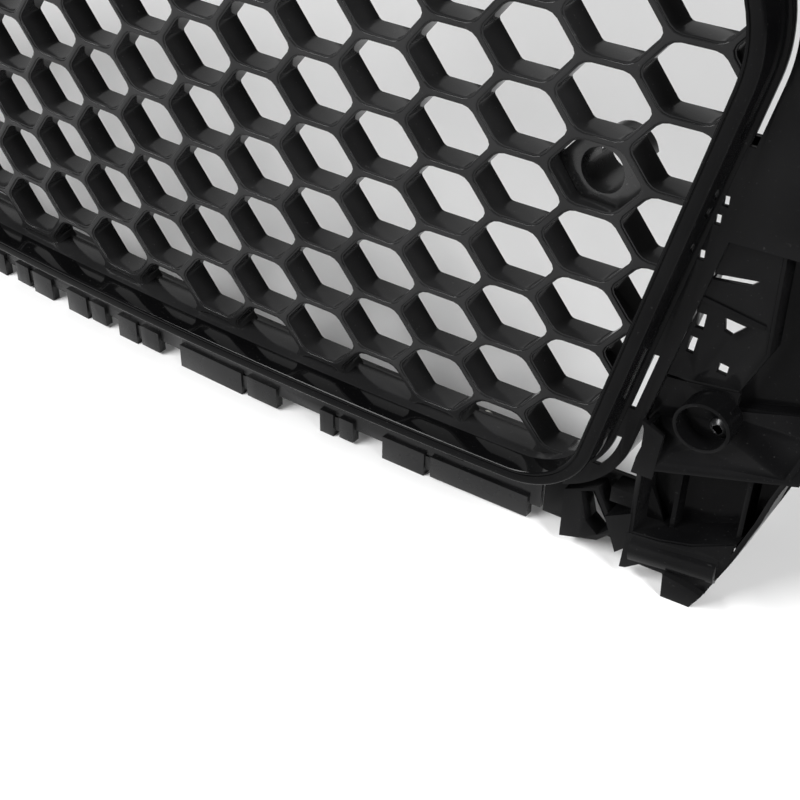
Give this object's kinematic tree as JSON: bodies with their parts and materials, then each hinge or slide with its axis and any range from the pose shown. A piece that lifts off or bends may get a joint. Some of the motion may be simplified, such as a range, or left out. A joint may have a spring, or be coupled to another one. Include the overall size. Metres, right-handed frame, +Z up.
{
  "type": "front grille",
  "caption": "Bowed car front grille: honeycomb mesh in a glossy channel surround, with rear carriers, slotted side brackets and sensor collars.",
  "frame": {"origin": "centre of the bounding box in x and y, on the surface that the grille stands on", "axes": "+X across the grille to its right as seen from the front, -Y the front, +Z up"},
  "size_m": [0.924, 0.1, 0.396],
  "materials": {
    "gloss_black": "piano black, polished",
    "mesh_black": "black, moulded gloss",
    "carrier_black": "black, fine grain",
    "bracket_black": "black, moulded gloss with grain behind",
    "holder_black": "black, satin",
    "zinc": "zinc plated",
    "zinc_black": "black zinc plated",
    "spring_steel": "phosphated spring steel",
    "stop_rubber": "black, matt"
  },
  "bodies": {
    "root": {"trim_ring": "gloss_black", "honeycomb_mesh": "mesh_black", "lower_carrier": "carrier_black", "upper_carrier": "carrier_black", "side_bracket_left": "bracket_black", "side_bracket_right": "bracket_black", "sensor_holder_left": "holder_black", "sensor_holder_right": "holder_black", "lower_screws": "zinc", "upper_screws": "zinc", "side_screws_left": "zinc", "side_screws_right": "zinc", "boss_screw_left": "zinc_black", "boss_screw_right": "zinc_black", "boss_nut_left": "zinc", "boss_nut_right": "zinc", "spring_nuts_upper": "spring_steel", "bump_stop_left": "stop_rubber", "bump_stop_right": "stop_rubber"}
  },
  "joints": []
}
